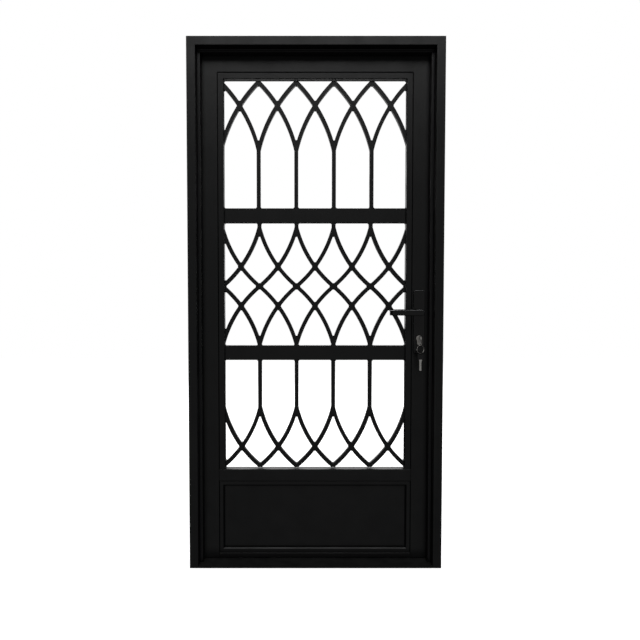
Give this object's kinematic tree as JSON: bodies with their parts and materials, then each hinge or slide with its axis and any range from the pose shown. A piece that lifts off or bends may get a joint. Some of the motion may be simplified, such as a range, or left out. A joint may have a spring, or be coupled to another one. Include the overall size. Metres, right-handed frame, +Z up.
{
  "type": "security grille door",
  "caption": "Steel entrance grille door in its rebated frame, with curved bars, kick panel, lever handles and a cylinder lock; the leaf swings on hinges.",
  "frame": {"origin": "floor level, on the wall-side lip of the hinge jamb near the outside face", "axes": "+X from the hinge side to the lock side, +Y from the outside to the inside, +Z up"},
  "size_m": [1.01, 0.173, 2.1],
  "materials": {
    "black_paint": "satin black paint",
    "black_handle": "smooth satin black",
    "nickel": "nickel-plated, satin",
    "zinc_steel": "zinc-plated steel"
  },
  "bodies": {
    "frame": {"hinge_jamb": "black_paint", "lock_jamb": "black_paint", "head_jamb": "black_paint", "threshold": "black_paint", "strike_plate": "zinc_steel", "frame_hinge_lower": "black_paint", "frame_hinge_middle": "black_paint", "frame_hinge_upper": "black_paint"},
    "leaf": {"hinge_stile": "black_paint", "lock_stile": "black_paint", "top_rail": "black_paint", "upper_cross_rail": "black_paint", "lower_cross_rail": "black_paint", "lock_rail": "black_paint", "bottom_rail": "black_paint", "upper_grille": "black_paint", "middle_grille": "black_paint", "lower_grille": "black_paint", "grille_bead_left": "black_paint", "grille_bead_right": "black_paint", "grille_bead_top": "black_paint", "panel_bead_left": "black_paint", "panel_bead_right": "black_paint", "panel_bead_top": "black_paint", "panel_bead_bottom": "black_paint", "kick_panel": "black_paint", "mortise_lock": "zinc_steel", "outside_plate": "black_handle", "inside_plate": "black_handle", "lock_cylinder": "nickel", "cylinder_plug": "nickel", "door_key": "nickel", "key_link": "nickel", "key_ring": "nickel", "spare_key": "nickel", "leaf_hinge_lower": "black_paint", "leaf_hinge_middle": "black_paint", "leaf_hinge_upper": "black_paint"},
    "lever": {"outside_lever": "black_handle", "inside_lever": "black_handle", "lever_spindle": "zinc_steel"}
  },
  "joints": [
    {"name": "leaf_swing", "type": "hinge", "parent": "frame", "child": "leaf", "pos_m": [0.0385, 0.1085, 0], "axis": [0, 0, 1], "range_deg": [0, 110]},
    {"name": "lever_turn", "type": "hinge", "parent": "leaf", "child": "lever", "pos_m": [0.926, 0.0795, 1.025], "axis": [0, -1, 0], "range_deg": [0, 45], "stiffness_Nm_per_rad": 2, "springref_deg": -20.05}
  ]
}
